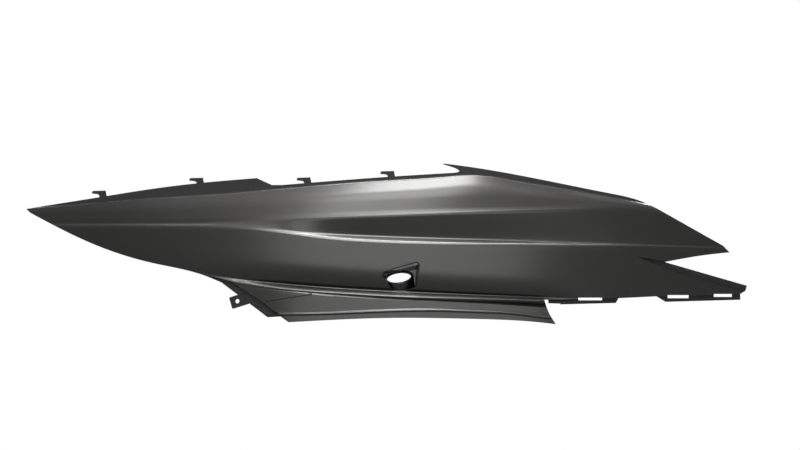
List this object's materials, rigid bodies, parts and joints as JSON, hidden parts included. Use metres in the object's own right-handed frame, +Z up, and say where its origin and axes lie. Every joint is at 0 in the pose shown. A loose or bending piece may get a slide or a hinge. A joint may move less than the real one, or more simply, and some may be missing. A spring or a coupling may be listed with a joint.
{
  "type": "scooter side panel",
  "caption": "Left-hand side panel of a scooter: a thin moulded plastic shell with feature lines, a lock pocket, a hooked top edge and tabs for the neighbouring covers.",
  "frame": {"origin": "centre of the lock hole, on the seat's outer face", "axes": "+X along the panel to the tail, -Y out of the visible face, +Z up"},
  "size_m": [0.901, 0.109, 0.201],
  "materials": {
    "panel": "satin metallic dark grey"
  },
  "bodies": {
    "root": {"side_panel": "panel"}
  },
  "joints": []
}
